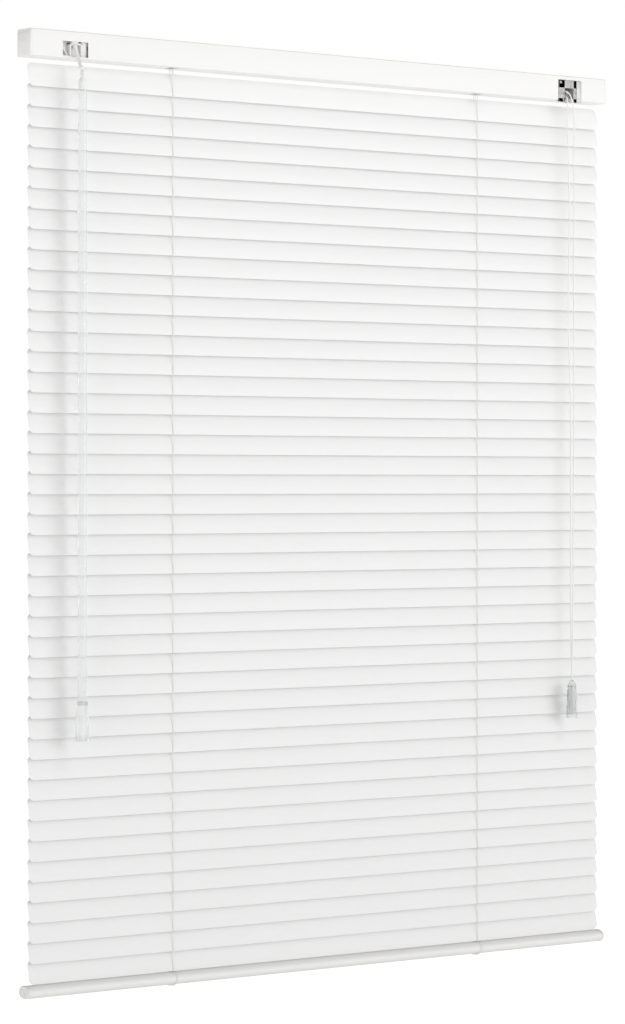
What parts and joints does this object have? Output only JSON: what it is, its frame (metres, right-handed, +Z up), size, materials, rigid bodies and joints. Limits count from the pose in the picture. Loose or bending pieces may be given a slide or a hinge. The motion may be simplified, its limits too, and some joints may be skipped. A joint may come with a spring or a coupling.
{
  "type": "venetian blind",
  "caption": "Horizontal-slat window blind with a channel head rail, ladder strings, tilt wand, cord lock with pull cords and a bottom rail, lowered and closed.",
  "frame": {"origin": "centre of the head rail's back face, which lies against the wall", "axes": "+X right as seen from the room, +Y into the wall, +Z up"},
  "size_m": [0.8, 0.0449, 1.0013],
  "materials": {
    "slat_enamel": "smooth white satin enamel on thin aluminium strip",
    "rail_enamel": "smooth white satin enamel on roll-formed strip",
    "white_plastic": "moulded white plastic, fine matt grain",
    "clear_plastic": "clear moulded plastic, glossy",
    "rod_steel": "zinc-plated steel",
    "lock_metal": "pressed grey metal, satin",
    "cord": "braided white polyester cord"
  },
  "bodies": {
    "head_rail": {"head_rail": "rail_enamel", "head_rail_cap_left": "white_plastic", "head_rail_cap_right": "white_plastic", "tilter_housing": "white_plastic", "cord_lock": "lock_metal", "pull_cords": "cord"},
    "tilt_rod": {"tilt_rod": "rod_steel"},
    "tilter_worm": {"tilter_worm": "clear_plastic"},
    "tilt_wand": {"tilt_wand": "clear_plastic"},
    "slat_01": {"slat_01": "slat_enamel"},
    "slat_02": {"slat_02": "slat_enamel"},
    "slat_03": {"slat_03": "slat_enamel"},
    "slat_04": {"slat_04": "slat_enamel"},
    "slat_05": {"slat_05": "slat_enamel"},
    "slat_06": {"slat_06": "slat_enamel"},
    "slat_07": {"slat_07": "slat_enamel"},
    "slat_08": {"slat_08": "slat_enamel"},
    "slat_09": {"slat_09": "slat_enamel"},
    "slat_10": {"slat_10": "slat_enamel"},
    "slat_11": {"slat_11": "slat_enamel"},
    "slat_12": {"slat_12": "slat_enamel"},
    "slat_13": {"slat_13": "slat_enamel"},
    "slat_14": {"slat_14": "slat_enamel"},
    "slat_15": {"slat_15": "slat_enamel"},
    "slat_16": {"slat_16": "slat_enamel"},
    "slat_17": {"slat_17": "slat_enamel"},
    "slat_18": {"slat_18": "slat_enamel"},
    "slat_19": {"slat_19": "slat_enamel"},
    "slat_20": {"slat_20": "slat_enamel"},
    "slat_21": {"slat_21": "slat_enamel"},
    "slat_22": {"slat_22": "slat_enamel"},
    "slat_23": {"slat_23": "slat_enamel"},
    "slat_24": {"slat_24": "slat_enamel"},
    "slat_25": {"slat_25": "slat_enamel"},
    "slat_26": {"slat_26": "slat_enamel"},
    "slat_27": {"slat_27": "slat_enamel"},
    "slat_28": {"slat_28": "slat_enamel"},
    "slat_29": {"slat_29": "slat_enamel"},
    "slat_30": {"slat_30": "slat_enamel"},
    "slat_31": {"slat_31": "slat_enamel"},
    "slat_32": {"slat_32": "slat_enamel"},
    "slat_33": {"slat_33": "slat_enamel"},
    "slat_34": {"slat_34": "slat_enamel"},
    "slat_35": {"slat_35": "slat_enamel"},
    "slat_36": {"slat_36": "slat_enamel"},
    "slat_37": {"slat_37": "slat_enamel"},
    "slat_38": {"slat_38": "slat_enamel"},
    "slat_39": {"slat_39": "slat_enamel"},
    "slat_40": {"slat_40": "slat_enamel"},
    "slat_41": {"slat_41": "slat_enamel"},
    "slat_42": {"slat_42": "slat_enamel"},
    "slat_43": {"slat_43": "slat_enamel"},
    "slat_44": {"slat_44": "slat_enamel"},
    "slat_45": {"slat_45": "slat_enamel"},
    "front_strings": {"ladder_left_front": "cord", "ladder_right_front": "cord"},
    "back_strings": {"ladder_left_back": "cord", "ladder_right_back": "cord"},
    "bottom_rail": {"bottom_rail": "rail_enamel"},
    "cord_tassel": {"cord_tassel": "clear_plastic"}
  },
  "joints": [
    {"name": "rod_turn", "type": "hinge", "parent": "head_rail", "child": "tilt_rod", "pos_m": [0, -0.0125, -0.0005], "axis": [1, 0, 0], "range_deg": [-260, 0]},
    {"name": "slat_01_tilt", "type": "hinge", "parent": "head_rail", "child": "slat_01", "pos_m": [0, -0.0125, -0.032], "axis": [1, 0, 0], "range_deg": [-156, 0]},
    {"name": "slat_02_tilt", "type": "hinge", "parent": "head_rail", "child": "slat_02", "pos_m": [0, -0.0125, -0.0531], "axis": [1, 0, 0], "range_deg": [-156, 0]},
    {"name": "slat_03_tilt", "type": "hinge", "parent": "head_rail", "child": "slat_03", "pos_m": [0, -0.0125, -0.0742], "axis": [1, 0, 0], "range_deg": [-156, 0]},
    {"name": "slat_04_tilt", "type": "hinge", "parent": "head_rail", "child": "slat_04", "pos_m": [0, -0.0125, -0.0953], "axis": [1, 0, 0], "range_deg": [-156, 0]},
    {"name": "slat_05_tilt", "type": "hinge", "parent": "head_rail", "child": "slat_05", "pos_m": [0, -0.0125, -0.1164], "axis": [1, 0, 0], "range_deg": [-156, 0]},
    {"name": "slat_06_tilt", "type": "hinge", "parent": "head_rail", "child": "slat_06", "pos_m": [0, -0.0125, -0.1375], "axis": [1, 0, 0], "range_deg": [-156, 0]},
    {"name": "slat_07_tilt", "type": "hinge", "parent": "head_rail", "child": "slat_07", "pos_m": [0, -0.0125, -0.1586], "axis": [1, 0, 0], "range_deg": [-156, 0]},
    {"name": "slat_08_tilt", "type": "hinge", "parent": "head_rail", "child": "slat_08", "pos_m": [0, -0.0125, -0.1797], "axis": [1, 0, 0], "range_deg": [-156, 0]},
    {"name": "slat_09_tilt", "type": "hinge", "parent": "head_rail", "child": "slat_09", "pos_m": [0, -0.0125, -0.2008], "axis": [1, 0, 0], "range_deg": [-156, 0]},
    {"name": "slat_10_tilt", "type": "hinge", "parent": "head_rail", "child": "slat_10", "pos_m": [0, -0.0125, -0.2219], "axis": [1, 0, 0], "range_deg": [-156, 0]},
    {"name": "slat_11_tilt", "type": "hinge", "parent": "head_rail", "child": "slat_11", "pos_m": [0, -0.0125, -0.243], "axis": [1, 0, 0], "range_deg": [-156, 0]},
    {"name": "slat_12_tilt", "type": "hinge", "parent": "head_rail", "child": "slat_12", "pos_m": [0, -0.0125, -0.2641], "axis": [1, 0, 0], "range_deg": [-156, 0]},
    {"name": "slat_13_tilt", "type": "hinge", "parent": "head_rail", "child": "slat_13", "pos_m": [0, -0.0125, -0.2852], "axis": [1, 0, 0], "range_deg": [-156, 0]},
    {"name": "slat_14_tilt", "type": "hinge", "parent": "head_rail", "child": "slat_14", "pos_m": [0, -0.0125, -0.3063], "axis": [1, 0, 0], "range_deg": [-156, 0]},
    {"name": "slat_15_tilt", "type": "hinge", "parent": "head_rail", "child": "slat_15", "pos_m": [0, -0.0125, -0.3274], "axis": [1, 0, 0], "range_deg": [-156, 0]},
    {"name": "slat_16_tilt", "type": "hinge", "parent": "head_rail", "child": "slat_16", "pos_m": [0, -0.0125, -0.3485], "axis": [1, 0, 0], "range_deg": [-156, 0]},
    {"name": "slat_17_tilt", "type": "hinge", "parent": "head_rail", "child": "slat_17", "pos_m": [0, -0.0125, -0.3696], "axis": [1, 0, 0], "range_deg": [-156, 0]},
    {"name": "slat_18_tilt", "type": "hinge", "parent": "head_rail", "child": "slat_18", "pos_m": [0, -0.0125, -0.3907], "axis": [1, 0, 0], "range_deg": [-156, 0]},
    {"name": "slat_19_tilt", "type": "hinge", "parent": "head_rail", "child": "slat_19", "pos_m": [0, -0.0125, -0.4118], "axis": [1, 0, 0], "range_deg": [-156, 0]},
    {"name": "slat_20_tilt", "type": "hinge", "parent": "head_rail", "child": "slat_20", "pos_m": [0, -0.0125, -0.4329], "axis": [1, 0, 0], "range_deg": [-156, 0]},
    {"name": "slat_21_tilt", "type": "hinge", "parent": "head_rail", "child": "slat_21", "pos_m": [0, -0.0125, -0.454], "axis": [1, 0, 0], "range_deg": [-156, 0]},
    {"name": "slat_22_tilt", "type": "hinge", "parent": "head_rail", "child": "slat_22", "pos_m": [0, -0.0125, -0.4751], "axis": [1, 0, 0], "range_deg": [-156, 0]},
    {"name": "slat_23_tilt", "type": "hinge", "parent": "head_rail", "child": "slat_23", "pos_m": [0, -0.0125, -0.4962], "axis": [1, 0, 0], "range_deg": [-156, 0]},
    {"name": "slat_24_tilt", "type": "hinge", "parent": "head_rail", "child": "slat_24", "pos_m": [0, -0.0125, -0.5173], "axis": [1, 0, 0], "range_deg": [-156, 0]},
    {"name": "slat_25_tilt", "type": "hinge", "parent": "head_rail", "child": "slat_25", "pos_m": [0, -0.0125, -0.5384], "axis": [1, 0, 0], "range_deg": [-156, 0]},
    {"name": "slat_26_tilt", "type": "hinge", "parent": "head_rail", "child": "slat_26", "pos_m": [0, -0.0125, -0.5595], "axis": [1, 0, 0], "range_deg": [-156, 0]},
    {"name": "slat_27_tilt", "type": "hinge", "parent": "head_rail", "child": "slat_27", "pos_m": [0, -0.0125, -0.5806], "axis": [1, 0, 0], "range_deg": [-156, 0]},
    {"name": "slat_28_tilt", "type": "hinge", "parent": "head_rail", "child": "slat_28", "pos_m": [0, -0.0125, -0.6017], "axis": [1, 0, 0], "range_deg": [-156, 0]},
    {"name": "slat_29_tilt", "type": "hinge", "parent": "head_rail", "child": "slat_29", "pos_m": [0, -0.0125, -0.6228], "axis": [1, 0, 0], "range_deg": [-156, 0]},
    {"name": "slat_30_tilt", "type": "hinge", "parent": "head_rail", "child": "slat_30", "pos_m": [0, -0.0125, -0.6439], "axis": [1, 0, 0], "range_deg": [-156, 0]},
    {"name": "slat_31_tilt", "type": "hinge", "parent": "head_rail", "child": "slat_31", "pos_m": [0, -0.0125, -0.665], "axis": [1, 0, 0], "range_deg": [-156, 0]},
    {"name": "slat_32_tilt", "type": "hinge", "parent": "head_rail", "child": "slat_32", "pos_m": [0, -0.0125, -0.6861], "axis": [1, 0, 0], "range_deg": [-156, 0]},
    {"name": "slat_33_tilt", "type": "hinge", "parent": "head_rail", "child": "slat_33", "pos_m": [0, -0.0125, -0.7072], "axis": [1, 0, 0], "range_deg": [-156, 0]},
    {"name": "slat_34_tilt", "type": "hinge", "parent": "head_rail", "child": "slat_34", "pos_m": [0, -0.0125, -0.7283], "axis": [1, 0, 0], "range_deg": [-156, 0]},
    {"name": "slat_35_tilt", "type": "hinge", "parent": "head_rail", "child": "slat_35", "pos_m": [0, -0.0125, -0.7494], "axis": [1, 0, 0], "range_deg": [-156, 0]},
    {"name": "slat_36_tilt", "type": "hinge", "parent": "head_rail", "child": "slat_36", "pos_m": [0, -0.0125, -0.7705], "axis": [1, 0, 0], "range_deg": [-156, 0]},
    {"name": "slat_37_tilt", "type": "hinge", "parent": "head_rail", "child": "slat_37", "pos_m": [0, -0.0125, -0.7916], "axis": [1, 0, 0], "range_deg": [-156, 0]},
    {"name": "slat_38_tilt", "type": "hinge", "parent": "head_rail", "child": "slat_38", "pos_m": [0, -0.0125, -0.8127], "axis": [1, 0, 0], "range_deg": [-156, 0]},
    {"name": "slat_39_tilt", "type": "hinge", "parent": "head_rail", "child": "slat_39", "pos_m": [0, -0.0125, -0.8338], "axis": [1, 0, 0], "range_deg": [-156, 0]},
    {"name": "slat_40_tilt", "type": "hinge", "parent": "head_rail", "child": "slat_40", "pos_m": [0, -0.0125, -0.8549], "axis": [1, 0, 0], "range_deg": [-156, 0]},
    {"name": "slat_41_tilt", "type": "hinge", "parent": "head_rail", "child": "slat_41", "pos_m": [0, -0.0125, -0.876], "axis": [1, 0, 0], "range_deg": [-156, 0]},
    {"name": "slat_42_tilt", "type": "hinge", "parent": "head_rail", "child": "slat_42", "pos_m": [0, -0.0125, -0.8971], "axis": [1, 0, 0], "range_deg": [-156, 0]},
    {"name": "slat_43_tilt", "type": "hinge", "parent": "head_rail", "child": "slat_43", "pos_m": [0, -0.0125, -0.9182], "axis": [1, 0, 0], "range_deg": [-156, 0]},
    {"name": "slat_44_tilt", "type": "hinge", "parent": "head_rail", "child": "slat_44", "pos_m": [0, -0.0125, -0.9393], "axis": [1, 0, 0], "range_deg": [-156, 0]},
    {"name": "slat_45_tilt", "type": "hinge", "parent": "bottom_rail", "child": "slat_45", "pos_m": [0, -0.0125, -0.9604], "axis": [1, 0, 0], "range_deg": [-156, 0]},
    {"name": "front_strings_swing", "type": "hinge", "parent": "slat_01", "child": "front_strings", "pos_m": [0, -0.01566, -0.04687], "axis": [1, 0, 0], "range_deg": [0, 156]},
    {"name": "back_strings_swing", "type": "hinge", "parent": "slat_01", "child": "back_strings", "pos_m": [0, -0.00934, -0.01713], "axis": [1, 0, 0], "range_deg": [0, 156]},
    {"name": "worm_turn", "type": "hinge", "parent": "head_rail", "child": "tilter_worm", "pos_m": [-0.3435, -0.025, -0.004], "axis": [0, -0.4306, -0.9025], "range_deg": [0, 2600]},
    {"name": "wand_turn", "type": "hinge", "parent": "head_rail", "child": "tilt_wand", "pos_m": [-0.3435, -0.0375, -0.0302], "axis": [0, 0, -1], "range_deg": [0, 2600]},
    {"name": "blind_lift", "type": "slide", "parent": "head_rail", "child": "bottom_rail", "axis": [0, 0, 1], "range_m": [0, 0.8], "deforming": ["slat_01", "slat_02", "slat_03", "slat_04", "slat_05", "slat_06", "slat_07", "slat_08", "slat_09", "slat_10", "slat_11", "slat_12", "slat_13", "slat_14", "slat_15", "slat_16", "slat_17", "slat_18", "slat_19", "slat_20", "slat_21", "slat_22", "slat_23", "slat_24", "slat_25", "slat_26", "slat_27", "slat_28", "slat_29", "slat_30", "slat_31", "slat_32", "slat_33", "slat_34", "slat_35", "slat_36", "slat_37", "slat_38", "slat_39", "slat_40", "slat_41", "slat_42", "slat_43", "slat_44", "ladder_left_front", "ladder_right_front", "ladder_left_back", "ladder_right_back"]},
    {"name": "tassel_drop", "type": "slide", "parent": "head_rail", "child": "cord_tassel", "axis": [0, 0, -1], "range_m": [0, 0.8], "deforming": ["pull_cords"]}
  ],
  "couplings": [
    {"joint": "slat_01_tilt", "follows": "rod_turn", "ratio": 0.6},
    {"joint": "slat_02_tilt", "follows": "rod_turn", "ratio": 0.6},
    {"joint": "slat_03_tilt", "follows": "rod_turn", "ratio": 0.6},
    {"joint": "slat_04_tilt", "follows": "rod_turn", "ratio": 0.6},
    {"joint": "slat_05_tilt", "follows": "rod_turn", "ratio": 0.6},
    {"joint": "slat_06_tilt", "follows": "rod_turn", "ratio": 0.6},
    {"joint": "slat_07_tilt", "follows": "rod_turn", "ratio": 0.6},
    {"joint": "slat_08_tilt", "follows": "rod_turn", "ratio": 0.6},
    {"joint": "slat_09_tilt", "follows": "rod_turn", "ratio": 0.6},
    {"joint": "slat_10_tilt", "follows": "rod_turn", "ratio": 0.6},
    {"joint": "slat_11_tilt", "follows": "rod_turn", "ratio": 0.6},
    {"joint": "slat_12_tilt", "follows": "rod_turn", "ratio": 0.6},
    {"joint": "slat_13_tilt", "follows": "rod_turn", "ratio": 0.6},
    {"joint": "slat_14_tilt", "follows": "rod_turn", "ratio": 0.6},
    {"joint": "slat_15_tilt", "follows": "rod_turn", "ratio": 0.6},
    {"joint": "slat_16_tilt", "follows": "rod_turn", "ratio": 0.6},
    {"joint": "slat_17_tilt", "follows": "rod_turn", "ratio": 0.6},
    {"joint": "slat_18_tilt", "follows": "rod_turn", "ratio": 0.6},
    {"joint": "slat_19_tilt", "follows": "rod_turn", "ratio": 0.6},
    {"joint": "slat_20_tilt", "follows": "rod_turn", "ratio": 0.6},
    {"joint": "slat_21_tilt", "follows": "rod_turn", "ratio": 0.6},
    {"joint": "slat_22_tilt", "follows": "rod_turn", "ratio": 0.6},
    {"joint": "slat_23_tilt", "follows": "rod_turn", "ratio": 0.6},
    {"joint": "slat_24_tilt", "follows": "rod_turn", "ratio": 0.6},
    {"joint": "slat_25_tilt", "follows": "rod_turn", "ratio": 0.6},
    {"joint": "slat_26_tilt", "follows": "rod_turn", "ratio": 0.6},
    {"joint": "slat_27_tilt", "follows": "rod_turn", "ratio": 0.6},
    {"joint": "slat_28_tilt", "follows": "rod_turn", "ratio": 0.6},
    {"joint": "slat_29_tilt", "follows": "rod_turn", "ratio": 0.6},
    {"joint": "slat_30_tilt", "follows": "rod_turn", "ratio": 0.6},
    {"joint": "slat_31_tilt", "follows": "rod_turn", "ratio": 0.6},
    {"joint": "slat_32_tilt", "follows": "rod_turn", "ratio": 0.6},
    {"joint": "slat_33_tilt", "follows": "rod_turn", "ratio": 0.6},
    {"joint": "slat_34_tilt", "follows": "rod_turn", "ratio": 0.6},
    {"joint": "slat_35_tilt", "follows": "rod_turn", "ratio": 0.6},
    {"joint": "slat_36_tilt", "follows": "rod_turn", "ratio": 0.6},
    {"joint": "slat_37_tilt", "follows": "rod_turn", "ratio": 0.6},
    {"joint": "slat_38_tilt", "follows": "rod_turn", "ratio": 0.6},
    {"joint": "slat_39_tilt", "follows": "rod_turn", "ratio": 0.6},
    {"joint": "slat_40_tilt", "follows": "rod_turn", "ratio": 0.6},
    {"joint": "slat_41_tilt", "follows": "rod_turn", "ratio": 0.6},
    {"joint": "slat_42_tilt", "follows": "rod_turn", "ratio": 0.6},
    {"joint": "slat_43_tilt", "follows": "rod_turn", "ratio": 0.6},
    {"joint": "slat_44_tilt", "follows": "rod_turn", "ratio": 0.6},
    {"joint": "slat_45_tilt", "follows": "rod_turn", "ratio": 0.6},
    {"joint": "front_strings_swing", "follows": "rod_turn", "ratio": -0.6},
    {"joint": "back_strings_swing", "follows": "rod_turn", "ratio": -0.6},
    {"joint": "worm_turn", "follows": "rod_turn", "ratio": -10},
    {"joint": "wand_turn", "follows": "rod_turn", "ratio": -10},
    {"joint": "tassel_drop", "follows": "blind_lift", "ratio": 1}
  ]
}
